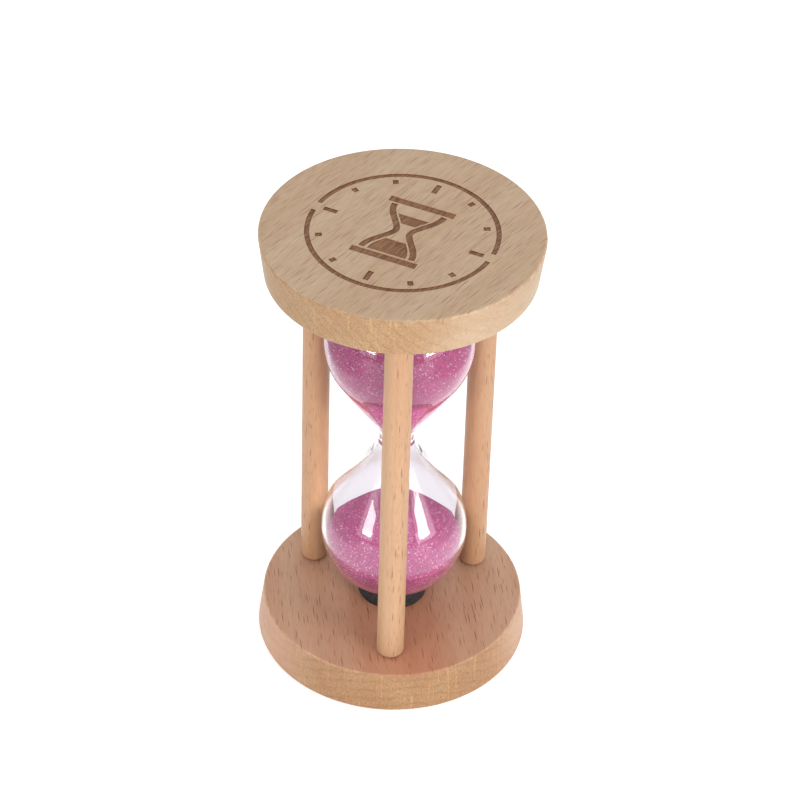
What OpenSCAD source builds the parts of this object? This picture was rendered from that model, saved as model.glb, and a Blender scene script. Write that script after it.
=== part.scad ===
// Sand timer: a double glass bulb held between two beech plates by three dowel posts.
// Millimetres, +Z up, origin at the centre of the face that the timer stands on.
// The object is the same either way up, so every height is taken from the neck or
// from the nearer plate, and the upper half mirrors the lower half.

/* [Frame] */
// Overall height, from one resting face to the other
overall_h = 91; // [85:0.5:100]
// Diameter of a plate at its outer, resting face
plate_d = 50; // [46:0.5:60]
// Diameter of a plate at its inner face, where the side has tapered in
plate_inner_d = 48.2; // [44:0.1:60]
// Thickness of a plate
plate_t = 8; // [6:0.1:9]
// Rounding of the plates' edges
plate_edge_r = 0.4; // [0.2:0.1:1]

/* [Posts] */
// Number of posts, equally spaced, the first one at the front
post_count = 3; // [3:1:3]
// Diameter of a post
post_d = 5; // [4:0.1:6]
// Distance of each post's axis from the timer's axis
post_pitch_r = 17.3; // [17:0.1:18.5]
// Rounding of a post's shoulders
post_shoulder_r = 0.8; // [0.4:0.1:0.9]
// Diameter of the tenon at each end of a post
tenon_d = 3; // [2:0.1:3.2]
// Length of a tenon
tenon_l = 4; // [3:0.5:5]
// Glue gap around a tenon and below it
glue_gap = 0.05; // [0.02:0.01:0.1]

/* [Glass] */
// Outer diameter of each bulb
bulb_d = 27; // [24:0.1:28]
// Distance from the neck to the centre of each bulb
bulb_s = 21.7; // [21:0.1:22]
// Half angle of the cone between the neck and a bulb
cone_a = 33; // [32:0.5:35]
// Outer diameter of the neck
neck_d = 6.4; // [5.6:0.1:7]
// Thickness of the glass of the bulbs and cones
glass_t = 0.7; // [0.6:0.05:1.2]
// Diameter of the hole in the neck, which sets how fast the sand runs
orifice_d = 1.2; // [0.8:0.1:1.6]
// Distance from the neck's middle to each end of that hole
throat_s = 1; // [0.8:0.1:1.2]
// Length of the funnel between the hole's end and the hollow's cone
funnel_l = 1.2; // [0.8:0.1:1.6]
// How much of each bulb's round end is ground flat
end_flat = 0.2; // [0.1:0.1:0.3]
// Diameter of the filling hole in the lower end
fill_hole_d = 3; // [2:0.1:4]

/* [Pads and plug] */
// Diameter of the foam pad under each bulb
pad_d = 12.8; // [10:0.1:16]
// How far a pad's rim reaches up around the bulb's end
pad_rim = 0.6; // [0.2:0.1:0.8]
// Diameter of the hole through a pad
pad_hole_d = 5.4; // [5:0.1:6]
// Diameter of the plug's head, which lies inside the pad's hole
plug_head_d = 4.6; // [4:0.1:4.8]
// Thickness of the plug's head
plug_head_t = 0.8; // [0.5:0.1:1.2]

/* [Sand] */
// Air gap between the sand and the glass
sand_gap = 0.05; // [0.03:0.01:0.2]
// Distance from the neck up to the sand's edge in the upper bulb
upper_level_s = 23; // [20:0.1:26]
// Slope of the crater in the upper sand, in degrees
crater_a = 26; // [15:1:32]
// Distance from the neck up to the top of the grains that cling to the upper bulb's glass
cling_s = 31.5; // [28:0.5:32]
// Thickness of that clinging layer
cling_t = 0.15; // [0.1:0.05:0.3]
// Distance from the neck down to the sand's edge in the lower bulb
lower_level_s = 24; // [20:0.1:26]
// Slope of the heap in the lower sand, in degrees
heap_a = 24; // [15:1:32]
// Diameter of the falling stream of sand
stream_d = 0.8; // [0.4:0.1:1]

/* [Hidden] */
$fn = 96;
neck_z = overall_h / 2;                        // height of the neck, the plane of symmetry
post_l = overall_h - 2 * plate_t;              // length of a post between the plates
bulb_r = bulb_d / 2;
end_s = bulb_s + bulb_r - end_flat;            // distance from the neck to each ground end
hollow_r = bulb_r - glass_t;                   // radius of each hollow
end_glass_t = glass_t - end_flat;              // thickness of the glass at a ground end
cone_tip_s = bulb_s - bulb_r / sin(cone_a);    // where the outer cone would meet the axis
// radius of the concave arc that runs from the neck into the cone
neck_arc_r = (neck_d / 2 * cos(cone_a) + cone_tip_s * sin(cone_a)) / (1 - cos(cone_a));
pad_t = neck_z - end_s - plate_t;              // thickness of a pad under the bulb's flat
overlap = 1;                                   // how far a cutting shape runs past what it cuts

// A node's upper half is its lower half turned over at the neck.
module turned_over() {
    translate([0, 0, overall_h]) mirror([0, 0, 1]) children();
}

// ---- wooden frame ----

// Half section of a plate that rests on z = 0: a tapered side between two rounded edges.
module plate_section() {
    low = [plate_d / 2 - plate_edge_r, plate_edge_r];
    high = [plate_inner_d / 2 - plate_edge_r, plate_t - plate_edge_r];
    taper = atan2(low.x - high.x, high.y - low.y);
    side = plate_edge_r * [cos(taper), sin(taper)];
    polygon([[0, 0], [low.x, 0], low + side, high + side, [high.x, plate_t], [0, plate_t]]);
    translate(low) circle(r = plate_edge_r);
    translate(high) circle(r = plate_edge_r);
}

function post_angle(i) = -90 + i * 360 / post_count;

module at_post(i) {
    rotate(post_angle(i)) translate([post_pitch_r, 0, 0]) children();
}

// Plate with a blind socket for each post's tenon in its inner face.
module plate() {
    depth = tenon_l + glue_gap;
    difference() {
        rotate_extrude() plate_section();
        for (i = [0 : post_count - 1])
            at_post(i) translate([0, 0, plate_t - depth])
                cylinder(d = tenon_d + 2 * glue_gap, h = depth + overlap);
    }
}

module base_plate() {
    color([0.78, 0.60, 0.46]) plate();
}

module top_plate() {
    color([0.80, 0.66, 0.50]) turned_over() plate();
}

// Dowel with rounded shoulders and a tenon at each end.
module post(i) {
    straight_l = post_l - 2 * post_shoulder_r;
    at_post(i) {
        rotate_extrude() {
            translate([0, plate_t + post_shoulder_r]) square([post_d / 2, straight_l]);
            translate([0, plate_t]) square([post_d / 2 - post_shoulder_r, post_l]);
            for (z = [plate_t + post_shoulder_r, overall_h - plate_t - post_shoulder_r])
                translate([post_d / 2 - post_shoulder_r, z]) circle(r = post_shoulder_r);
        }
        translate([0, 0, plate_t - tenon_l]) cylinder(d = tenon_d, h = post_l + 2 * tenon_l);
    }
}

module post_front() {
    color([0.86, 0.70, 0.52]) post(0);
}

module post_rear_right() {
    color([0.86, 0.70, 0.52]) post(1);
}

module post_rear_left() {
    color([0.86, 0.70, 0.52]) post(2);
}

// ---- glass ----

// Half section of a ball of radius r around a bulb's centre, from the circle where a cone
// of half angle a touches it to last_s.
module ball_section(r, a, last_s) {
    first_s = bulb_s - r * sin(a);
    intersection() {
        translate([0, bulb_s]) circle(r = r);
        translate([0, first_s]) square([r + overlap, last_s - first_s]);
    }
}

// Half section of one bulb's hollow, or of the space that its sand may fill with a gap
// all round: a funnel out of the hole in the neck, a cone and a ball.
module hollow_section(gap) {
    r = hollow_r - gap;
    touch = [r * cos(cone_a), bulb_s - r * sin(cone_a)];
    funnel_s = throat_s + funnel_l;
    funnel_r = touch.x - (touch.y - funnel_s) * tan(cone_a);
    polygon([[0, throat_s], [orifice_d / 2 - gap, throat_s], [funnel_r, funnel_s], touch,
        [0, touch.y]]);
    ball_section(r, cone_a, bulb_s + r);
}

// Half section of one bulb's outside: half of the neck, the cone and the round end.
module outside_section() {
    neck_end = [neck_d / 2 + neck_arc_r * (1 - cos(cone_a)), neck_arc_r * sin(cone_a)];
    touch = [bulb_r * cos(cone_a), bulb_s - bulb_r * sin(cone_a)];
    difference() {
        polygon([[0, 0], [neck_end.x, 0], neck_end, touch, [0, touch.y]]);
        translate([neck_d / 2 + neck_arc_r, 0]) circle(r = neck_arc_r);
    }
    ball_section(bulb_r, cone_a, end_s);
}

// One bulb and its half of the neck, standing upwards from the neck.
module half_vial() {
    difference() {
        rotate_extrude() outside_section();
        rotate_extrude() hollow_section(0);
        translate([0, 0, -overlap]) cylinder(d = orifice_d, h = throat_s + 2 * overlap);
    }
}

module glass_vial() {
    color([0.93, 0.94, 0.97, 0.35])
        translate([0, 0, neck_z]) {
            half_vial();
            difference() {
                mirror([0, 0, 1]) half_vial();
                translate([0, 0, -end_s - overlap])
                    cylinder(d = fill_hole_d, h = end_glass_t + 2 * overlap);
            }
        }
}

// Rubber plug that closes the filling hole, with its head under the bulb's flat.
module fill_plug() {
    flat_z = neck_z - end_s;
    color([0.25, 0.25, 0.26]) {
        translate([0, 0, flat_z - plug_head_t]) cylinder(d = plug_head_d, h = plug_head_t);
        translate([0, 0, flat_z - plug_head_t])
            cylinder(d = fill_hole_d - 2 * glue_gap, h = plug_head_t + end_glass_t);
    }
}

// Foam ring on the plate, with a round seat that the bulb's end is pressed into.
module pad() {
    color([0.17, 0.17, 0.18])
        difference() {
            translate([0, 0, plate_t]) cylinder(d = pad_d, h = pad_t + pad_rim);
            translate([0, 0, plate_t - overlap]) cylinder(d = pad_hole_d, h = pad_t + 2 * overlap);
            translate([0, 0, neck_z]) mirror([0, 0, 1])
                rotate_extrude() ball_section(bulb_r, cone_a, end_s);
        }
}

module lower_pad() {
    pad();
}

module upper_pad() {
    turned_over() pad();
}

// ---- sand ----

// Radius of a bulb's sand where its edge is at a distance from the neck.
function edge_r(level_s) = sqrt(pow(hollow_r - sand_gap, 2) - pow(level_s - bulb_s, 2));

// Section of the space below a surface that meets the glass at height edge_y and
// rises to edge_y + rise on the axis, down to floor_y. A negative rise is a crater.
module below_surface(floor_y, edge_y, edge_r, rise) {
    past_edge = bulb_r / edge_r - 1;
    polygon([[0, floor_y], [bulb_r, floor_y], [bulb_r, edge_y - rise * past_edge],
        [0, edge_y + rise]]);
}

// Section of the thin layer of grains that cling to the glass above the sand's edge.
module clinging_section() {
    intersection() {
        difference() {
            hollow_section(sand_gap);
            hollow_section(sand_gap + cling_t);
        }
        translate([0, bulb_s]) square([bulb_r, cling_s - bulb_s]);
    }
}

// Sand in the upper bulb, drained into a crater over the neck.
module upper_sand() {
    r = edge_r(upper_level_s);
    color([0.76, 0.41, 0.61])
        translate([0, 0, neck_z])
            rotate_extrude() {
                intersection() {
                    hollow_section(sand_gap);
                    below_surface(0, upper_level_s, r, -r * tan(crater_a));
                }
                clinging_section();
            }
}

// Sand in the lower bulb, heaped under the neck.
module lower_sand() {
    r = edge_r(lower_level_s);
    color([0.76, 0.41, 0.61])
        translate([0, 0, neck_z])
            rotate_extrude()
                intersection() {
                    mirror([0, 1]) hollow_section(sand_gap);
                    below_surface(-end_s, -lower_level_s, r, r * tan(heap_a));
                }
}

// Sand falling from the upper bulb's funnel onto the top of the heap.
module sand_stream() {
    fall = lower_level_s - edge_r(lower_level_s) * tan(heap_a);
    color([0.76, 0.41, 0.61])
        translate([0, 0, neck_z - fall]) cylinder(d = stream_d, h = fall + throat_s);
}

base_plate();
top_plate();
post_front();
post_rear_right();
post_rear_left();
glass_vial();
fill_plug();
lower_pad();
upper_pad();
lower_sand();
upper_sand();
sand_stream();
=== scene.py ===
"""Looks of the sand timer: engraved beech plates, dowel posts, blown glass and glitter sand.

Everything is in metres in the CAD model's frame: +Z up, the origin at the centre of the
face that the timer stands on. Outlines of turned shapes are lists of (radius, height).
"""
import math
import random

import bmesh
import bpy
from mathutils import Matrix, Vector, noise


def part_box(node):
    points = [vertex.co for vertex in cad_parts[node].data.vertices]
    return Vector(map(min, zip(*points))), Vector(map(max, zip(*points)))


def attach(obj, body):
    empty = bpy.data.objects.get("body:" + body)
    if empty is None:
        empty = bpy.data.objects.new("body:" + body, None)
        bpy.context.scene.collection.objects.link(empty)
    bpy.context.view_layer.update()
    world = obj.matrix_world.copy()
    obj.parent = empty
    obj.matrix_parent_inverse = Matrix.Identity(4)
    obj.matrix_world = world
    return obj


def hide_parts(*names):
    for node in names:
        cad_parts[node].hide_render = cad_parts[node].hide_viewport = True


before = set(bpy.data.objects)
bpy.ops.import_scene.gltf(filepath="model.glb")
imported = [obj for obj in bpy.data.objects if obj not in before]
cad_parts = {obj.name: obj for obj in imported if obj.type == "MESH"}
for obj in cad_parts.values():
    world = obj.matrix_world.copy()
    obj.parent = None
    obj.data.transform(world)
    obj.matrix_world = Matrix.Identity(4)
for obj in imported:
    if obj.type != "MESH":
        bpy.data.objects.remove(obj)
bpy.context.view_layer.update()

MM = 0.001
BODY = "root"


# ---- camera ----

def make_camera():
    """Looks at the timer from the front and well above it, through a long lens."""
    aim = Vector((0.4, 0, 53.4)) * MM
    distance = 608 * MM
    elevation = math.radians(39.53)
    roll = math.radians(1.78)
    data = bpy.data.cameras.new("camera")
    data.sensor_width = 36
    data.lens = 152.5
    data.clip_start = 10 * MM
    camera = bpy.data.objects.new("camera", data)
    camera.matrix_world = (
        Matrix.Translation(aim)
        @ Matrix.Rotation(math.pi / 2 - elevation, 4, "X")
        @ Matrix.Rotation(roll, 4, "Z")
        @ Matrix.Translation((0, 0, distance))
    )
    bpy.context.collection.objects.link(camera)
    bpy.context.scene.camera = camera


make_camera()


# ---- measures ----

base_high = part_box("base_plate")[1]
top_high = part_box("top_plate")[1]
vial_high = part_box("glass_vial")[1]
pad_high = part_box("lower_pad")[1]
stream_low, stream_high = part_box("sand_stream")

HEIGHT = top_high.z
NECK_Z = HEIGHT / 2
PLATE_R = top_high.x
PLATE_T = base_high.z
PLATE_INNER_R = 24.1 * MM
EDGE_R = 0.4 * MM
MARK_DEPTH = 0.16 * MM
MARK_TURN = math.radians(-24)

BULB_R = vial_high.x
BULB_S = 21.7 * MM            # distances with S are taken from the neck
CONE = math.radians(33)       # half angle of the cone between the neck and a bulb
BOW = math.radians(3)         # the outside of the cone is bowed by this much at either end
NECK_R = 3.2 * MM
GLASS_T = 0.7 * MM
END_S = vial_high.z - NECK_Z
HOLLOW_R = BULB_R - GLASS_T
THROAT_S = 1.0 * MM
FUNNEL_L = 1.2 * MM
ORIFICE_R = 0.6 * MM
FILL_HOLE_R = 1.5 * MM

SAND_GAP = 0.05 * MM
LOWER_EDGE_S = 24.0 * MM      # where the sand's surface meets the glass in each bulb
UPPER_EDGE_S = 23.0 * MM
HEAP_SLOPE = math.radians(24)
CRATER_SLOPE = math.radians(-26)
TIP_R = 1.6 * MM              # how far from the axis a heap's or crater's tip is rounded off
CLING_S = 31.5 * MM           # top and thickness of the grains that cling above the crater
CLING_T = 0.15 * MM
GRAIN_STEP = 0.2 * MM         # distance between the points of a sand surface

PAD_R = pad_high.x
PAD_HOLE_R = 2.7 * MM


# ---- turned shapes ----

def arc(centre, radius, start, end, steps):
    """Points of an arc in the (radius, height) plane, from one angle in degrees to another."""
    angles = [math.radians(start + (end - start) * i / steps) for i in range(steps + 1)]
    return [(centre[0] + radius * math.cos(a), centre[1] + radius * math.sin(a)) for a in angles]


def line(start, end, steps):
    """Points of a straight line between two points, without its first point."""
    return [
        tuple(start[k] + (end[k] - start[k]) * i / steps for k in range(2))
        for i in range(1, steps + 1)
    ]


def lathe(name, outline, turns=192, loop=False):
    """Closed mesh turned about Z. The outline runs from the axis to the axis, or is a loop."""
    mesh = bmesh.new()
    rings = []
    for radius, height in outline:
        if radius < 1e-7:
            rings.append([mesh.verts.new((0, 0, height))])
        else:
            rings.append([
                mesh.verts.new((
                    radius * math.cos(2 * math.pi * k / turns),
                    radius * math.sin(2 * math.pi * k / turns),
                    height,
                ))
                for k in range(turns)
            ])
    pairs = list(zip(rings, rings[1:]))
    if loop:
        pairs.append((rings[-1], rings[0]))
    for first, second in pairs:
        for k in range(turns):
            after = (k + 1) % turns
            corners = [first[k % len(first)], first[after % len(first)],
                       second[after % len(second)], second[k % len(second)]]
            unique = list(dict.fromkeys(corners))
            if len(unique) > 2:
                mesh.faces.new(unique)
    bmesh.ops.recalc_face_normals(mesh, faces=mesh.faces)
    return to_object(name, mesh)


def to_object(name, mesh):
    data = bpy.data.meshes.new(name)
    mesh.to_mesh(data)
    mesh.free()
    for polygon in data.polygons:
        polygon.use_smooth = True
    piece = bpy.data.objects.new(name, data)
    bpy.context.collection.objects.link(piece)
    return piece


def place(piece, slot, material, *nodes):
    """Gives a new piece its material, puts it on the body and hides the CAD nodes it stands for.
    Its slot is not used.
    """
    piece.data.materials.clear()
    piece.data.materials.append(material)
    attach(piece, BODY)
    if nodes:
        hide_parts(*nodes)
    return piece


def dress(node, material):
    """Gives a CAD node a new material."""
    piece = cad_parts[node]
    piece.data.materials.clear()
    piece.data.materials.append(material)


# ---- shader graphs ----

class Graph:
    """A material's node tree, written as expressions over sockets and constants."""

    def __init__(self, name):
        self.material = bpy.data.materials.new(name)
        self.material.use_nodes = True
        self.tree = self.material.node_tree
        self.tree.nodes.clear()

    def node(self, kind, inputs=(), **settings):
        made = self.tree.nodes.new("ShaderNode" + kind)
        for key, value in settings.items():
            setattr(made, key, value)
        for key, value in dict(inputs).items():
            self.feed(made.inputs[key], value)
        return made

    def feed(self, socket, value):
        if isinstance(value, bpy.types.NodeSocket):
            self.tree.links.new(value, socket)
        else:
            socket.default_value = value

    def math(self, operation, *values):
        return self.node("Math", enumerate(values), operation=operation).outputs[0]

    def vector(self, operation, *values, output=0):
        made = self.node("VectorMath", enumerate(values), operation=operation)
        return made.outputs[output]

    def stretched(self, vector, factors):
        """A vector with each part times its own factor."""
        return self.vector("MULTIPLY", vector, factors)

    def length(self, x, y, z=0.0):
        return self.vector("LENGTH", self.combine(x, y, z), output=1)

    def xyz(self, vector):
        return self.node("SeparateXYZ", {0: vector}).outputs

    def combine(self, x, y, z):
        return self.node("CombineXYZ", {0: x, 1: y, 2: z}).outputs[0]

    def noise(self, vector, scale, detail=2.0, rough=0.5):
        made = self.node(
            "TexNoise", {"Vector": vector, "Scale": scale, "Detail": detail, "Roughness": rough}
        )
        return made.outputs[0]

    def voronoi(self, vector, scale=1.0):
        return self.node("TexVoronoi", {"Vector": vector, "Scale": scale})

    def ramp(self, value, low, high, start=0.0, end=1.0, smooth=True):
        """Maps value from low..high to start..end, clamped."""
        made = self.node(
            "MapRange", {0: value, 1: low, 2: high, 3: start, 4: end},
            interpolation_type="SMOOTHSTEP" if smooth else "LINEAR",
        )
        return made.outputs[0]

    def mix(self, factor, first, second, blend="MIX"):
        made = self.node("Mix", data_type="RGBA", blend_type=blend)
        self.feed(made.inputs[0], factor)
        self.feed(made.inputs[6], first)
        self.feed(made.inputs[7], second)
        return made.outputs[2]

    def tinted(self, colour, tint):
        """A colour times another."""
        return self.mix(1.0, colour, tint, "MULTIPLY")

    def shade(self, colour, value):
        """A colour times a grey value."""
        return self.tinted(colour, self.combine(value, value, value))

    def bump(self, height, distance, strength=1.0):
        made = self.node(
            "Bump", {"Height": height, "Distance": distance, "Strength": strength}
        )
        return made.outputs[0]

    def millimetres(self, rotation=(0, 0, 0), offset=(0, 0, 0)):
        """Object coordinates in millimetres, turned and shifted."""
        source = self.node("TexCoord").outputs["Object"]
        made = self.node(
            "Mapping",
            {"Vector": source, "Scale": (1000, 1000, 1000), "Rotation": rotation,
             "Location": offset},
        )
        return made.outputs[0]

    def spun(self, vector, angle):
        """A vector turned about X."""
        made = self.node("VectorRotate", {"Vector": vector, "Angle": angle},
                         rotation_type="X_AXIS")
        return made.outputs[0]

    def surface(self, shader):
        output = self.node("OutputMaterial")
        self.tree.links.new(shader, output.inputs["Surface"])
        return self.material

    def principled(self, **inputs):
        names = {key.replace("_", " "): value for key, value in inputs.items()}
        return self.node("BsdfPrincipled", names).outputs[0]


def grey(value):
    return (value, value, value, 1.0)


def spindles(graph, place_mm, cell, half):
    """Mask of thin spindles along X, one in each cell, in millimetres. The rays of beech
    are such spindles, upright sheets that show as flecks where a face cuts them."""
    scaled = graph.vector("DIVIDE", place_mm, cell)
    cells = graph.voronoi(scaled)
    size = graph.ramp(graph.xyz(cells.outputs["Color"])[0], 0, 1, 0.45, 1.15, smooth=False)
    away = graph.vector("SUBTRACT", scaled, cells.outputs["Position"])
    away = graph.vector("MULTIPLY", away, cell)
    away = graph.vector("DIVIDE", away, half)
    length = graph.vector("LENGTH", away, output=1)
    return graph.ramp(graph.math("DIVIDE", length, size), 1.0, 0.35)


def heartwood_and_painted_shade(graph, wood, end_grain, light, warm, red_zone):
    """Broad bands along the grain, from pale to warm wood, and a redder zone along it. On the
    base plate that zone is painted shade, tinted by pink light bounced from the sand, around
    the pad; on the top plate and posts it is the wood's own redder heartwood.
    """
    across = graph.xyz(wood)[1]
    bands = graph.noise(graph.stretched(wood, (0.012, 0.16, 0.16)), 1.0, 3.0)
    colour = graph.mix(graph.ramp(bands, 0.36, 0.64), light, warm)
    # the redder zone: on the base plate it is painted shade with pink bounce light around the pad
    middle, reach = red_zone
    off_red_zone = graph.math("ABSOLUTE", graph.math("SUBTRACT", across, middle))
    wavering = graph.math("ADD", off_red_zone, graph.math("MULTIPLY", bands, 6.0))
    red = graph.ramp(wavering, reach + 6.0, 3.0)
    red = graph.math("MULTIPLY", red, graph.math("SUBTRACT", 1.0, end_grain))
    return graph.mix(red, colour, graph.tinted(colour, (0.97, 0.74, 0.68, 1.0)))


def growth_rings(graph, wood, end_grain, colour, middle):
    """Growth rings around a pith far below the piece, plainest on the end grain."""
    _, across, up = graph.xyz(wood)
    from_pith = graph.length(
        0.0, graph.math("SUBTRACT", across, middle), graph.math("ADD", up, 34.0)
    )
    wander = graph.noise(graph.stretched(wood, (0.05, 0.2, 0.2)), 1.0)
    years = graph.math("ADD", graph.math("MULTIPLY", from_pith, 0.55), wander)
    late = graph.ramp(graph.math("FRACT", years), 0.5, 1.0)
    depth = graph.math("MULTIPLY", late, graph.ramp(end_grain, 0, 1, 0.35, 0.8))
    return graph.mix(depth, colour, graph.tinted(colour, (0.90, 0.84, 0.76, 1.0)))


def hair_lines(graph, wood, end_grain, colour, pores, fibre, end_tint):
    """Hair lines along the grain, and on the end grain dots and its own tint."""
    colour = graph.shade(colour, graph.ramp(pores, 0.34, 0.66, 1.0 - fibre, 1.0 + 0.6 * fibre))
    dots = graph.noise(graph.stretched(wood, (1.2, 2.6, 2.6)), 1.0, 5.0, 0.8)
    dotted = graph.shade(colour, graph.ramp(dots, 0.36, 0.64, 0.74, 1.10))
    return graph.mix(end_grain, colour, graph.tinted(dotted, end_tint))


def ray_flecks(graph, wood, hidden, cell, half):
    """Mask of the large rays and of finer ones between them, where they aren't hidden."""
    large = spindles(graph, wood, cell, half)
    fine = spindles(
        graph, graph.vector("ADD", wood, (31.0, 17.0, 5.0)),
        tuple(v * 0.6 for v in cell), tuple(v * 0.6 for v in half),
    )
    flecks = graph.math("MAXIMUM", large, graph.math("MULTIPLY", fine, 0.6))
    return graph.math("MULTIPLY", flecks, graph.math("SUBTRACT", 1.0, hidden))


def ray_threads(graph, wood, end_grain, colour):
    """Pale upright threads on the end grain, where rays run along the face."""
    threads = graph.noise(graph.stretched(wood, (0.5, 2.3, 0.09)), 1.0, 2.0)
    threads = graph.math("MULTIPLY", graph.ramp(threads, 0.58, 0.70), end_grain)
    pale = graph.tinted(colour, (1.30, 1.28, 1.22, 1.0))
    return graph.mix(graph.math("MULTIPLY", threads, 0.75), colour, pale)


def painted_edge_highlight(graph, colour, radius, height):
    """A painted highlight: a paler, ragged line along an edge at a radius and height in
    millimetres, where light catches the rounded edge.
    """
    place_mm = graph.millimetres()
    x, y, z = graph.xyz(place_mm)
    gap = graph.length(
        graph.math("SUBTRACT", graph.length(x, y), radius), graph.math("SUBTRACT", z, height)
    )
    ragged = graph.ramp(graph.noise(place_mm, 0.55, 5.0, 0.7), 0.45, 0.65, 0.0, 0.6)
    # painted highlight along the rounded edge
    edge_highlight = graph.math("MULTIPLY", graph.ramp(gap, 0.34, 0.12), ragged)
    return graph.mix(edge_highlight, colour, graph.tinted(colour, (1.35, 1.36, 1.32, 1.0)))


def scorched(graph, wood, colour):
    """The brown of a burnt mark over the wood's colour, and its roughness."""
    scorch = graph.noise(graph.stretched(wood, (0.5, 4.0, 4.0)), 1.0, 3.0)
    brown = graph.tinted(colour, (0.58, 0.41, 0.31, 1.0))
    darker = graph.tinted(colour, (0.34, 0.21, 0.15, 1.0))
    colour = graph.mix(graph.ramp(scorch, 0.38, 0.62), brown, darker)
    return colour, graph.ramp(scorch, 0.3, 0.7, 0.62, 0.78)


def beech(name, rotation, offset, light, warm, fleck_cell, fleck_half, fleck_strength,
          red_zone, fibre, end_tint, spin=0.0, edge=None, burnt=False):
    """Solid beech. After the rotation the grain runs along X and the rays stand in XZ,
    turned about the grain by spin. end_tint is the colour of end grain over face grain.
    heart is where across the grain a redder zone lies and how far that reaches; on the base
    plate that zone is painted shade, tinted by pink light bounced from the sand, around the
    pad. fibre is how strongly hair lines show. edge is the (radius, height) of an edge that
    gets a painted highlight, a paler ragged line where light catches it."""
    graph = Graph(name)
    flat = graph.spun(graph.millimetres(rotation, offset), spin)
    sway = graph.noise(graph.stretched(flat, (0.03, 0.12, 0.12)), 1.0)
    sway = graph.math("MULTIPLY", graph.math("SUBTRACT", sway, 0.5), 1.2)
    wood = graph.vector("ADD", flat, graph.combine(0.0, sway, sway))
    normal = graph.node("TexCoord").outputs["Normal"]
    turned = graph.node(
        "Mapping", {"Vector": normal, "Rotation": rotation}, vector_type="VECTOR"
    ).outputs[0]
    facing = graph.xyz(graph.vector("ABSOLUTE", graph.spun(turned, spin)))
    end_grain = graph.ramp(facing[0], 0.35, 0.85)
    along_rays = graph.ramp(facing[1], 0.55, 0.95)

    pores = graph.noise(graph.stretched(wood, (0.30, 5.0, 5.0)), 1.0, 3.0, 0.6)
    roughness = graph.ramp(pores, 0.3, 0.7, 0.50, 0.38)
    colour = heartwood_and_painted_shade(graph, wood, end_grain, light, warm, red_zone)
    colour = growth_rings(graph, wood, end_grain, colour, red_zone[0])
    colour = hair_lines(graph, wood, end_grain, colour, pores, fibre, end_tint)
    hidden = graph.math("MAXIMUM", end_grain, graph.math("MULTIPLY", along_rays, 0.85))
    flecks = ray_flecks(graph, wood, hidden, fleck_cell, fleck_half)
    dark = graph.tinted(colour, (0.50, 0.34, 0.25, 1.0))
    colour = graph.mix(graph.math("MULTIPLY", flecks, fleck_strength), colour, dark)
    colour = ray_threads(graph, wood, end_grain, colour)
    # a painted highlight along the plate's rounded edge
    if edge:
        colour = painted_edge_highlight(graph, colour, *edge)
    if burnt:
        colour, roughness = scorched(graph, wood, colour)

    height = graph.math("SUBTRACT", graph.math("MULTIPLY", pores, 0.6), flecks)
    return graph.surface(graph.principled(
        Base_Color=colour, Roughness=roughness, Specular_IOR_Level=0.4,
        Normal=graph.bump(height, 0.025 * MM),
    ))


def sand_grains(graph, place_mm):
    """Fine pink grains, each with its own tint and a few of them silvery: the colour, where
    a grain is silvery, and how far in from its edge a point is."""
    grains = graph.voronoi(place_mm, 5.2)
    tint = graph.xyz(grains.outputs["Color"])
    colour = graph.mix(tint[0], (0.37, 0.055, 0.168, 1.0), (0.53, 0.125, 0.283, 1.0))
    drift = graph.noise(place_mm, 0.35, 2.0)
    colour = graph.shade(colour, graph.ramp(drift, 0.3, 0.7, 0.94, 1.06))
    silver = graph.math("GREATER_THAN", tint[1], 0.95)
    colour = graph.mix(silver, colour, (0.72, 0.48, 0.61, 1.0))
    return colour, silver, graph.math("SUBTRACT", 1.0, grains.outputs["Distance"])


def on_inside(graph, out, away):
    """Mask of the glass's inner surface, from the distances in millimetres to the axis and,
    along it, to the neck. It tells inside from outside by the middle of the wall."""
    from_tip_line = graph.math(
        "SUBTRACT", graph.math("MULTIPLY", out, math.cos(CONE)),
        graph.math("MULTIPLY", away, math.sin(CONE)),
    )
    mid_cone = (BULB_R - BULB_S * math.sin(CONE) - GLASS_T / 2) / MM
    in_cone = graph.math(
        "MULTIPLY", graph.math("LESS_THAN", from_tip_line, mid_cone),
        graph.math("LESS_THAN", away, (BULB_S - BULB_R * math.sin(CONE)) / MM),
    )
    off_middle = graph.length(out, graph.math("SUBTRACT", away, BULB_S / MM))
    in_ball = graph.math("LESS_THAN", off_middle, (BULB_R - GLASS_T / 2) / MM)
    return graph.math("MAXIMUM", in_cone, in_ball)


def stuck_grains(graph, place_mm):
    """Grains that stick to the inside of the glass where the sand touches it, thickest in
    the upper cone: how much of the glass they cover, and their shader."""
    x, y, z = graph.xyz(place_mm)
    up = graph.math("SUBTRACT", z, NECK_Z / MM)
    away = graph.math("ABSOLUTE", up)
    cling, level = CLING_S / MM, -LOWER_EDGE_S / MM
    above = graph.math("GREATER_THAN", up, THROAT_S / MM)
    above = graph.math("MULTIPLY", above, graph.ramp(up, 20.0, 11.0, 0.6, 0.95))
    above = graph.math("MULTIPLY", above, graph.ramp(up, cling, cling - 5, 0.0, 1.0))
    below = graph.ramp(up, level, level - 0.5, 0.0, 0.45)
    inside = on_inside(graph, graph.length(x, y), away)
    cover = graph.math("MULTIPLY", inside, graph.math("MAXIMUM", above, below))
    # painted light: paler near the neck and at the ends, to make up for the shade there, where less
    # light reaches them
    painted_light = graph.math(
        "MAXIMUM", graph.ramp(away, 17.0, 13.0, 1.0, 1.4), graph.ramp(away, 26.0, 31.0, 1.0, 1.25)
    )
    colour = graph.shade(sand_grains(graph, place_mm)[0], painted_light)
    return cover, graph.node("BsdfDiffuse", {"Color": colour}).outputs[0]


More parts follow.
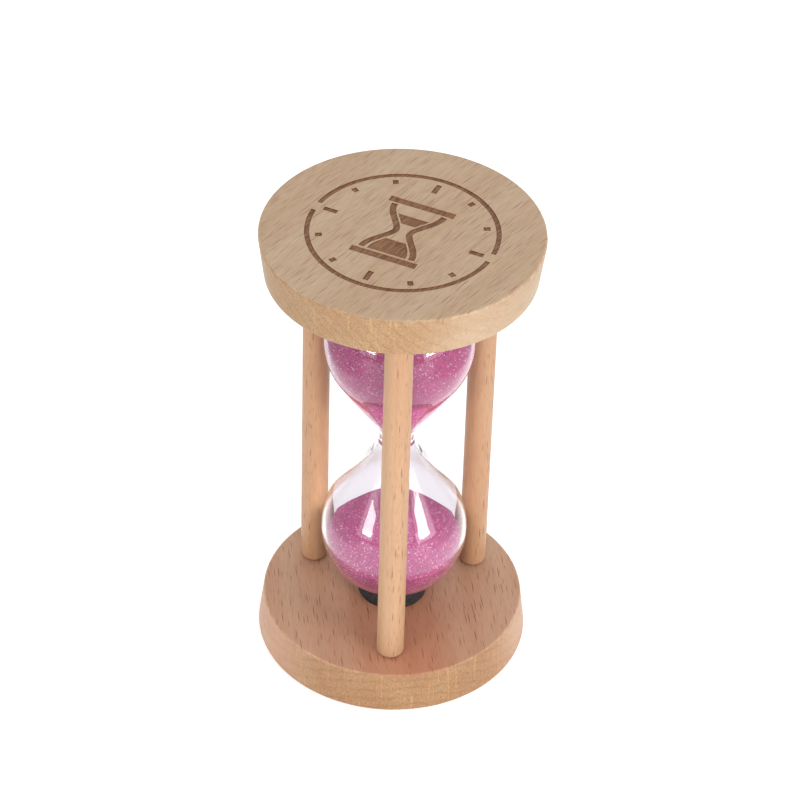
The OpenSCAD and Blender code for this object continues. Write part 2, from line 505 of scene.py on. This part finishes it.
def blown_glass():
    """Clear glass with the faint waves of blown work, and grains of sand stuck inside. It
    casts no solid shadow."""
    graph = Graph("blown_glass")
    place_mm = graph.millimetres()
    waves = graph.noise(graph.stretched(place_mm, (0.16, 0.16, 0.09)), 1.0, 1.0)
    clear = graph.principled(
        Base_Color=(0.915, 0.908, 0.938, 1.0), Roughness=0.0, IOR=1.49, Transmission_Weight=1.0,
        Normal=graph.bump(waves, 0.05 * MM),
    )
    shadow = graph.node("BsdfTransparent", {"Color": (0.97, 0.965, 0.975, 1.0)}).outputs[0]
    is_shadow = graph.node("LightPath").outputs["Is Shadow Ray"]
    lit = graph.node("MixShader", {0: is_shadow, 1: clear, 2: shadow}).outputs[0]
    cover, grains = stuck_grains(graph, place_mm)
    return graph.surface(graph.node("MixShader", {0: cover, 1: lit, 2: grains}).outputs[0])


def dyed_sand():
    """Fine pink sand, every grain with its own tint and tilt."""
    graph = Graph("dyed_sand")
    place_mm = graph.millimetres()
    colour, silver, depth = sand_grains(graph, place_mm)
    shader = graph.principled(
        Base_Color=colour, Roughness=graph.ramp(silver, 0, 1, 0.8, 0.4),
        Specular_IOR_Level=0.25, Normal=graph.bump(depth, 0.04 * MM, 0.6),
    )
    return graph.surface(shader)


def glitter():
    """Metallised film, pink to silver from flake to flake."""
    graph = Graph("glitter")
    cells = graph.voronoi(graph.millimetres(), 3.0)
    tint = graph.xyz(cells.outputs["Color"])[0]
    colour = graph.mix(tint, (0.95, 0.60, 0.80, 1.0), (0.98, 0.93, 0.96, 1.0))
    shader = graph.principled(Base_Color=colour, Metallic=0.5, Roughness=0.35)
    return graph.surface(shader)


def foam():
    """Black closed-cell foam, its skin pitted with fine cells."""
    graph = Graph("pad_foam")
    place_mm = graph.millimetres()
    cells = graph.voronoi(place_mm, 5.0).outputs["Distance"]
    mottle = graph.noise(place_mm, 1.4, 3.0)
    colour = graph.mix(graph.ramp(mottle, 0.35, 0.65), grey(0.018), grey(0.034))
    shader = graph.principled(
        Base_Color=colour, Roughness=graph.ramp(cells, 0.0, 0.6, 0.72, 0.92),
        Specular_IOR_Level=0.35, Normal=graph.bump(cells, 0.06 * MM, 0.7),
    )
    return graph.surface(shader)


def rubber():
    """Dark grey rubber with a moulded, slightly dusty skin."""
    graph = Graph("plug_rubber")
    dust = graph.noise(graph.millimetres(), 2.2, 4.0)
    colour = graph.mix(graph.ramp(dust, 0.4, 0.7), grey(0.035), grey(0.065))
    shader = graph.principled(
        Base_Color=colour, Roughness=graph.ramp(dust, 0.3, 0.7, 0.55, 0.72),
        Normal=graph.bump(dust, 0.02 * MM),
    )
    return graph.surface(shader)


# ---- wood ----

TOP_GRAIN = math.radians(54)
BASE_GRAIN = math.radians(98)
UPRIGHT = (0, math.pi / 2, 0)
TOP_WOOD = {
    "rotation": (0, 0, -TOP_GRAIN), "offset": (40, 12, -86),
    "light": (0.450, 0.323, 0.211, 1.0), "warm": (0.427, 0.290, 0.181, 1.0),
    "fleck_cell": (5.0, 0.55, 3.0), "fleck_half": (2.5, 0.10, 1.6), "fleck_strength": 0.8,
    "red_zone": (44, 9), "fibre": 0.09, "end_tint": (0.87, 0.75, 0.58, 1.0),
}
BASE_WOOD = {
    "rotation": (0, 0, -BASE_GRAIN), "offset": (-70, 55, 0),
    "light": (0.472, 0.287, 0.184, 1.0), "warm": (0.450, 0.250, 0.154, 1.0),
    "fleck_cell": (4.2, 0.9, 3.0), "fleck_half": (2.0, 0.13, 1.6), "fleck_strength": 0.85,
    # the redder zone through the middle of the base plate is painted shade, tinted by pink light
    # bounced from the sand, around the pad
    "red_zone": (55, 15), "fibre": 0.05, "end_tint": (0.78, 0.74, 0.56, 1.0),
}
POST_WOOD = {
    "light": (0.470, 0.281, 0.160, 1.0), "warm": (0.445, 0.246, 0.134, 1.0),
    "fleck_cell": (3.8, 0.9, 0.9), "fleck_half": (1.5, 0.15, 0.5), "fleck_strength": 0.8,
    "red_zone": (10, 3), "fibre": 0.07, "end_tint": (0.9, 0.85, 0.75, 1.0),
}


def plate_outline():
    """Outline of a plate that rests on z = 0, from the axis under it to the axis over it."""
    low = (PLATE_R - EDGE_R, EDGE_R)
    high = (PLATE_INNER_R - EDGE_R, PLATE_T - EDGE_R)
    taper = math.degrees(math.atan2(low[0] - high[0], high[1] - low[1]))
    outline = [(0, 0)]
    outline += line((0, 0), (low[0], 0), 12)
    outline += arc(low, EDGE_R, -90, taper, 7)[1:]
    corner = arc(high, EDGE_R, taper, 90, 7)
    outline += line(outline[-1], corner[0], 10)
    outline += corner[1:]
    outline += line((high[0], PLATE_T), (0, PLATE_T), 12)
    return outline


def prism(mesh, corners, low, high):
    """Adds a closed prism over a flat outline to a mesh."""
    floor = [mesh.verts.new((x, y, low)) for x, y in corners]
    roof = [mesh.verts.new((x, y, high)) for x, y in corners]
    mesh.faces.new(floor[::-1])
    mesh.faces.new(roof)
    for k in range(len(corners)):
        after = (k + 1) % len(corners)
        mesh.faces.new((floor[k], floor[after], roof[after], roof[k]))


def band(curve, width):
    """Outline of a band of even width along an open curve."""
    left, right = [], []
    for k, (x, y) in enumerate(curve):
        before = curve[max(k - 1, 0)]
        after = curve[min(k + 1, len(curve) - 1)]
        along = Vector((after[0] - before[0], after[1] - before[1])).normalized()
        side = Vector((-along.y, along.x)) * width / 2
        left.append((x + side.x, y + side.y))
        right.append((x - side.x, y - side.y))
    return left + right[::-1]


def mark_outlines():
    """A plain timer sign: a dial of ticks around a sand glass. All in metres."""
    ring_r, ring_w = 16.6 * MM, 0.9 * MM
    tick_out, tick_in, quarter_in = 15.2 * MM, 14.0 * MM, 12.6 * MM
    tick_w = 1.0 * MM
    cap_w, cap_h, cap_y = 12.4 * MM, 1.5 * MM, 8.0 * MM
    waist_x, belly_x, line_w = 1.3 * MM, 4.7 * MM, 1.15 * MM
    shapes = []
    for start in (0, 180):
        shapes.append(band(arc((0, 0), ring_r, start + 4, start + 176, 60), ring_w))
    for k in range(12):
        inner = quarter_in if k % 3 == 0 else tick_in
        turn = Matrix.Rotation(math.radians(30 * k), 2)
        corners = [(inner, -tick_w / 2), (tick_out, -tick_w / 2),
                   (tick_out, tick_w / 2), (inner, tick_w / 2)]
        shapes.append([tuple(turn @ Vector(c)) for c in corners])
    for side in (1, -1):
        shapes.append([
            (-cap_w / 2, side * cap_y - cap_h / 2), (cap_w / 2, side * cap_y - cap_h / 2),
            (cap_w / 2, side * cap_y + cap_h / 2), (-cap_w / 2, side * cap_y + cap_h / 2),
        ])
    reach = cap_y - cap_h / 2 - 0.4 * MM

    def wall_x(y):
        return waist_x + (belly_x - waist_x) * math.sin(math.pi / 2 * min(abs(y) / reach, 1)) ** 1.5

    heights = [reach * (k / 14 - 1) for k in range(29)]
    for side in (1, -1):
        shapes.append(band([(side * wall_x(y), y) for y in heights], line_w))
    clear = line_w / 2 + 0.5 * MM
    for low, high in ((-reach, -0.42 * reach), (0.30 * reach, 0.66 * reach)):
        levels = [low + (high - low) * k / 8 for k in range(9)]
        right = [(max(wall_x(y) - clear, 0.12 * MM), y) for y in levels]
        shapes.append(right + [(-x, y) for x, y in right[::-1]])
    return shapes


def cut_mark(plate):
    """Sinks the mark, turned a little, into the plate's upper face."""
    mesh = bmesh.new()
    spin = Matrix.Rotation(MARK_TURN, 2)
    for shape in mark_outlines():
        corners = [tuple(spin @ Vector(c)) for c in shape]
        prism(mesh, corners, HEIGHT - MARK_DEPTH, HEIGHT + MARK_DEPTH)
    bmesh.ops.recalc_face_normals(mesh, faces=mesh.faces)
    cutter = to_object("mark_cutter", mesh)
    cut = plate.modifiers.new("mark", "BOOLEAN")
    cut.operation = "DIFFERENCE"
    cut.solver = "EXACT"
    cut.object = cutter
    graph = bpy.context.evaluated_depsgraph_get()
    result = bpy.data.meshes.new_from_object(plate.evaluated_get(graph))
    plate.modifiers.clear()
    plate.data = result
    bpy.data.objects.remove(cutter)


def engraved_top():
    """The top plate with a burnt-in mark in its outer face."""
    outline = [(r, HEIGHT - z) for r, z in plate_outline()]
    plate = lathe("engraved_top_plate", outline, turns=256)
    wood = beech("beech_top", edge=(PLATE_R / MM - 0.1, HEIGHT / MM - 0.1), **TOP_WOOD)
    place(plate, "plate_wood", wood, "top_plate")
    plate.data.materials.append(beech("beech_scorched", burnt=True, **TOP_WOOD))
    cut_mark(plate)
    for polygon in plate.data.polygons:
        sunk = polygon.center.z < HEIGHT - MARK_DEPTH / 10
        inside = polygon.center.xy.length < PLATE_R - 5 * MM
        above = polygon.center.z > HEIGHT - 2 * MARK_DEPTH
        polygon.material_index = int(sunk and inside and above)
        polygon.use_smooth = True
    plate.data.set_sharp_from_angle(angle=math.radians(35))


def dress_frame():
    """Beech for the CAD model's lower plate and posts, each with its own piece of timber."""
    edge = (PLATE_INNER_R / MM - 0.1, PLATE_T / MM - 0.1)
    dress("base_plate", beech("beech_base", edge=edge, **BASE_WOOD))
    spins = {"post_front": 55, "post_rear_right": 25, "post_rear_left": 140}
    for k, (name, spin) in enumerate(spins.items()):
        dress(name, beech(
            "beech_" + name, rotation=UPRIGHT, offset=(90 * k, 13 * k, 7 * k),
            spin=math.radians(spin), **POST_WOOD,
        ))


# ---- glass ----

def ball(radius, start, end, steps):
    """Arc around a bulb's centre, in (radius, distance from the neck)."""
    return arc((0, BULB_S), radius, start, end, steps)


def outer_half():
    """The glass's outside from the neck to the ground flat: a bend, a slightly bowed cone
    and the bulb, each tangent to the next. Two equations, one along the axis and one
    across it, give the radii of the cone's bow and of the bend by Cramer's rule."""
    low, high = CONE - BOW, CONE + BOW
    along = (math.sin(high) - math.sin(low), math.sin(high), BULB_S - BULB_R * math.sin(low))
    across = (math.cos(low) - math.cos(high), 1 - math.cos(high), BULB_R * math.cos(low) - NECK_R)
    scale = along[0] * across[1] - along[1] * across[0]
    bow_r = (along[2] * across[1] - along[1] * across[2]) / scale
    bend_r = (along[0] * across[2] - along[2] * across[0]) / scale
    back = BULB_R - bow_r
    bow_centre = (back * math.cos(low), BULB_S - back * math.sin(low))
    low, high = math.degrees(low), math.degrees(high)
    flat = math.degrees(math.asin((END_S - BULB_S) / BULB_R))
    points = arc((NECK_R + bend_r, 0), bend_r, 180, 180 - high, 30)
    points += arc(bow_centre, bow_r, -high, -low, 40)[1:]
    return points + ball(BULB_R, -low, flat, 96)[1:]


def hollow_half(gap):
    """The hollow's wall, or that of sand with a gap all round: a funnel, a cone and a ball."""
    radius = HOLLOW_R - gap
    touch = (radius * math.cos(CONE), BULB_S - radius * math.sin(CONE))
    funnel_s = THROAT_S + FUNNEL_L
    funnel = (touch[0] - (touch[1] - funnel_s) * math.tan(CONE), funnel_s)
    points = [(ORIFICE_R - gap, THROAT_S)]
    points += line(points[0], funnel, 8) + line(funnel, touch, 60)
    return points + ball(radius, -math.degrees(CONE), 90, 140)[1:]


def vial():
    """The double bulb, closed above and with the filling hole below."""
    outer, inner = outer_half(), [(ORIFICE_R, 0)] + hollow_half(0)
    above = [(r, NECK_Z + s) for r, s in outer]
    below = [(r, NECK_Z - s) for r, s in outer]
    hollow_above = [(r, NECK_Z + s) for r, s in inner]
    hollow_below = [(r, NECK_Z - s) for r, s in inner if r > FILL_HOLE_R or s < BULB_S]
    outline = [(0, above[-1][1])] + above[::-1] + below[1:]
    outline += [(FILL_HOLE_R, below[-1][1]), (FILL_HOLE_R, hollow_below[-1][1])]
    outline += hollow_below[::-1] + hollow_above[1:]
    outline[-1] = (0, outline[-1][1])
    piece = lathe("glass_bulbs", outline, turns=256)
    piece.data.set_sharp_from_angle(angle=math.radians(50))
    place(piece, "vial_glass", blown_glass(), "glass_vial")


# ---- sand ----

def roughen(piece, fine, coarse):
    """Moves every point along its normal by two sizes of noise."""
    points = piece.data.vertices
    for vertex, normal in zip(points, [v.normal.copy() for v in points]):
        spot = vertex.co / MM
        shift = fine * noise.noise(spot * 2.9) + coarse * noise.noise(spot * 0.5)
        vertex.co += normal * shift
    piece.data.update()


def heap_surface(edge, slope):
    """Points from the axis to the edge of a surface that rises to the axis at a slope.
    A negative slope is a crater."""
    steps = int(edge[0] / GRAIN_STEP)
    drop = math.sqrt(edge[0] ** 2 + TIP_R * TIP_R) - TIP_R
    points = []
    for k in range(steps + 1):
        r = edge[0] * k / steps
        fall = math.sqrt(r * r + TIP_R * TIP_R) - TIP_R
        points.append((r, edge[1] + (drop - fall) * math.tan(slope)))
    return points


def sand_edge(level_s, gap=SAND_GAP):
    """Where sand at a level meets the glass beyond its widest part, a gap away from it."""
    return (math.sqrt((HOLLOW_R - gap) ** 2 - (level_s - BULB_S) ** 2), level_s)


def heaped_sand():
    """The lower bulb's sand."""
    edge = sand_edge(LOWER_EDGE_S)
    wall = [p for p in hollow_half(SAND_GAP) if p[1] > edge[1]][::-1] + [edge]
    wall = [(r, NECK_Z - s) for r, s in wall]
    surface = heap_surface(wall[-1], HEAP_SLOPE)
    return lathe("sand_below", wall + surface[::-1][1:], turns=360)


def drained_sand():
    """The upper bulb's sand: a crater, with a thin layer of grains left on the glass above
    it, which ends in a ragged edge."""
    inside = SAND_GAP + CLING_T
    wall = [(0, THROAT_S)] + [p for p in hollow_half(SAND_GAP) if p[1] < CLING_S]
    back = [p for p in hollow_half(inside) if UPPER_EDGE_S < p[1] < CLING_S][::-1]
    back.append(sand_edge(UPPER_EDGE_S, inside))
    outline = [(r, NECK_Z + s) for r, s in wall + back]
    surface = heap_surface(outline[-1], CRATER_SLOPE)
    piece = lathe("sand_above", outline + surface[::-1][1:], turns=360)
    ragged_s, tooth_l = 5 * MM, 0.7 * MM
    for vertex in piece.data.vertices:
        x, y, z = vertex.co
        above = (z - NECK_Z - CLING_S) / ragged_s + 1
        if above > 0:
            tooth = noise.noise(Vector((x, y, 0)) / MM * 1.3) - 0.5
            drop = above * tooth * tooth_l
            closer = sand_edge(z + drop - NECK_Z)[0] / sand_edge(z - NECK_Z)[0]
            vertex.co = Vector((x * closer, y * closer, z + drop))
    return piece


def scatter_flakes(name, sand, count, seed):
    """Thin six-sided flakes that lie at all angles in the skin of a body of sand."""
    thick = 0.012 * MM
    draw = random.Random(seed)
    mesh = bmesh.new()
    polygons = sand.data.polygons
    total = len(polygons)
    largest = max(p.area for p in polygons)
    placed = 0
    while placed < count:
        polygon = polygons[draw.randrange(total)]
        if draw.random() > polygon.area / largest:
            continue
        placed += 1
        radius = draw.uniform(0.03, 0.065) * MM
        tilt = Vector([draw.gauss(0, 0.45) for _ in range(3)])
        normal = (polygon.normal + tilt).normalized()
        spin = normal.to_track_quat("Z", "Y").to_matrix().to_4x4()
        centre = polygon.center + polygon.normal * 0.02 * MM
        at = Matrix.Translation(centre) @ spin
        corners = [
            (radius * math.cos(math.pi / 3 * k), radius * math.sin(math.pi / 3 * k))
            for k in range(6)
        ]
        first = len(mesh.verts)
        prism(mesh, corners, -thick / 2, thick / 2)
        mesh.verts.ensure_lookup_table()
        for vertex in mesh.verts[first:]:
            vertex.co = at @ vertex.co
    flakes = to_object(name, mesh)
    for polygon in flakes.data.polygons:
        polygon.use_smooth = False
    return flakes


def fill_with_sand():
    """Both bodies of sand, the stream between them and the glitter in their skins."""
    sand = dyed_sand()
    flake = glitter()
    upper = drained_sand()
    lower = heaped_sand()
    for piece, node in ((upper, "upper_sand"), (lower, "lower_sand")):
        roughen(piece, 0.02 * MM, 0.04 * MM)
        place(piece, "sand", sand, node)
    for name, piece, seed in (("glitter_above", upper, 3), ("glitter_below", lower, 7)):
        place(scatter_flakes(name, piece, 400, seed), "sand", flake)
    falling_sand(sand)


def falling_sand(sand):
    """A stream that narrows as it falls, spreads at its foot and ends inside the heap."""
    radius = stream_high.x * 0.8
    top, bottom = stream_high.z, stream_low.z - 0.3 * MM
    steps = 120
    outline = [(0, top)]
    for k in range(steps + 1):
        t = k / steps
        spread = 1.0 - 0.3 * math.sin(math.pi * t) + 0.5 * max(0, t - 0.9) / 0.1
        outline.append((radius * spread, top + (bottom - top) * t))
    outline.append((0, bottom))
    stream = lathe("falling_sand", outline, turns=24)
    roughen(stream, 0.07 * MM, 0.05 * MM)
    place(stream, "sand", sand, "sand_stream")


# ---- pads ----

def foam_pad(name, node, material, up):
    """A foam ring squeezed under the bulb, or up over it: its wall bulges and its lip hugs
    the glass."""
    low, high = PLATE_T, pad_high.z
    corner = 0.35 * MM
    bulge = 0.12 * MM
    seat_r = math.sqrt(BULB_R ** 2 - (NECK_Z - BULB_S - high) ** 2)
    outline = arc((PAD_R - corner, low + corner), corner, -90, 0, 5)
    wall_low, wall_high = low + corner, high - corner
    for k in range(1, 12):
        t = k / 12
        outline.append((PAD_R + bulge * math.sin(math.pi * t) - bulge * 0.6,
                        wall_low + (wall_high - wall_low) * t))
    outline += arc((PAD_R - corner, wall_high), corner, 0, 90, 5)
    seat = []
    for k in range(13):
        r = seat_r + (PAD_HOLE_R - seat_r) * k / 12
        touch = NECK_Z - BULB_S - math.sqrt(BULB_R ** 2 - r * r)
        seat.append((r, max(min(touch, high), NECK_Z - END_S) - 0.01 * MM))
    outline += line(outline[-1], seat[0], 6) + seat[1:]
    outline += line(seat[-1], (PAD_HOLE_R, low), 8)
    outline += line((PAD_HOLE_R, low), (PAD_R - corner, low), 10)[:-1]
    if up:
        outline = [(r, HEIGHT - z) for r, z in outline]
    piece = lathe(name, outline, turns=160, loop=True)
    piece.data.set_sharp_from_angle(angle=math.radians(60))
    roughen(piece, 0.012 * MM, 0.03 * MM)
    place(piece, "pad_foam", material, node)


# ---- stage ----

ROOM_DIM = 0.35               # brightness of the room in front and at the sides

# name: azimuth, elevation, distance, size and radiance. Azimuth 0 is in front, + to the
# right. The boxes at the left and right each have a wide, weak spill around them.
SOFT_BOXES = {
    "soft_box_left": (-43.5, 14, 0.75, (0.20, 0.11), 16.0),
    "soft_box_left_spill": (-46, 12, 0.76, (0.36, 0.22), 1.8),
    "soft_box_right": (50, 13, 0.75, (0.24, 0.15), 18.0),
    "soft_box_right_spill": (53, 11, 0.76, (0.46, 0.26), 2.6),
    "front_fill": (0, 25, 1.0, (1.2, 0.8), 0.8),
}


def soft_box(name, azimuth, elevation, distance, size, radiance):
    """A rectangular light that faces the timer."""
    data = bpy.data.lights.new(name, "AREA")
    data.shape = "RECTANGLE"
    data.size, data.size_y = size
    data.energy = radiance * math.pi * size[0] * size[1]
    data.color = (1.0, 0.99, 0.98)
    lamp = bpy.data.objects.new(name, data)
    aim = Vector((0, 0, NECK_Z))
    turn = Matrix.Rotation(math.radians(azimuth), 4, "Z") @ Matrix.Rotation(
        math.radians(90 - elevation), 4, "X")
    lamp.matrix_world = Matrix.Translation(aim) @ turn @ Matrix.Translation((0, 0, distance))
    bpy.context.collection.objects.link(lamp)
    return lamp


def studio_world():
    """White to the camera. To everything else it is white behind the timer and overhead,
    and dim in front and at the sides."""
    world = bpy.data.worlds.new("studio")
    bpy.context.scene.world = world
    world.use_nodes = True
    nodes, links = world.node_tree.nodes, world.node_tree.links
    nodes.clear()
    white = nodes.new("ShaderNodeBackground")
    white.inputs["Color"].default_value = grey(1.0)
    room = nodes.new("ShaderNodeBackground")
    room.inputs["Color"].default_value = grey(1.0)
    split = nodes.new("ShaderNodeSeparateXYZ")
    links.new(nodes.new("ShaderNodeTexCoord").outputs["Generated"], split.inputs[0])
    fades = []
    behind, overhead = (1, 0.1, 0.6, 1.0), (2, 0.25, 0.8, 1.15)
    for axis, start, end, most in (behind, overhead):
        fade = nodes.new("ShaderNodeMapRange")
        fade.inputs["From Min"].default_value = start
        fade.inputs["From Max"].default_value = end
        fade.inputs["To Min"].default_value = ROOM_DIM
        fade.inputs["To Max"].default_value = most
        links.new(split.outputs[axis], fade.inputs["Value"])
        fades.append(fade.outputs[0])
    brighter = nodes.new("ShaderNodeMath")
    brighter.operation = "MAXIMUM"
    for k, fade in enumerate(fades):
        links.new(fade, brighter.inputs[k])
    links.new(brighter.outputs[0], room.inputs["Strength"])
    path = nodes.new("ShaderNodeLightPath")
    mixer = nodes.new("ShaderNodeMixShader")
    links.new(path.outputs["Is Camera Ray"], mixer.inputs[0])
    links.new(room.outputs[0], mixer.inputs[1])
    links.new(white.outputs[0], mixer.inputs[2])
    output = nodes.new("ShaderNodeOutputWorld")
    links.new(mixer.outputs[0], output.inputs["Surface"])


def paper_sheet():
    """Lit white paper. What the glass mirrors of it, left and right of the timer, is dim, as
    where a sheet ends."""
    graph = Graph("floor")
    place_mm = graph.millimetres()
    colour = graph.mix(graph.noise(place_mm, 0.01), grey(0.86), grey(0.88))
    paper = graph.principled(
        Base_Color=colour, Roughness=0.7, Emission_Color=grey(1.0), Emission_Strength=0.28
    )
    x, y, _ = graph.xyz(graph.vector("ABSOLUTE", place_mm))
    side = graph.math("MAXIMUM", 90.0, graph.math("MULTIPLY", y, 1.2))
    past_side = graph.math("SUBTRACT", x, side)
    path = graph.node("LightPath").outputs
    mirrored = graph.math("MAXIMUM", path["Is Glossy Ray"], path["Is Transmission Ray"])
    dim = graph.math("MULTIPLY", mirrored, graph.ramp(past_side, -15.0, 20.0, 0.0, 0.6))
    table = graph.node("BsdfDiffuse", {"Color": grey(0.12)}).outputs[0]
    return graph.surface(graph.node("MixShader", {0: dim, 1: paper, 2: table}).outputs[0])


def build_stage():
    """The floor, the lights, the world and how many bounces the glass needs."""
    bpy.ops.mesh.primitive_plane_add(size=8)
    floor = bpy.context.object
    floor.name = "floor"
    floor.data.materials.append(paper_sheet())
    lamps = {name: soft_box(name, *values) for name, values in SOFT_BOXES.items()}
    lamps["front_fill"].visible_glossy = False
    studio_world()
    bpy.context.scene.view_settings.view_transform = "Standard"
    light_paths = bpy.context.scene.cycles
    light_paths.max_bounces = 32
    light_paths.glossy_bounces = 16
    light_paths.transmission_bounces = 32
    light_paths.transparent_max_bounces = 24


engraved_top()
dress_frame()
vial()
fill_with_sand()
pad_foam = foam()
foam_pad("foam_ring_below", "lower_pad", pad_foam, up=False)
foam_pad("foam_ring_above", "upper_pad", pad_foam, up=True)
dress("fill_plug", rubber())
build_stage()
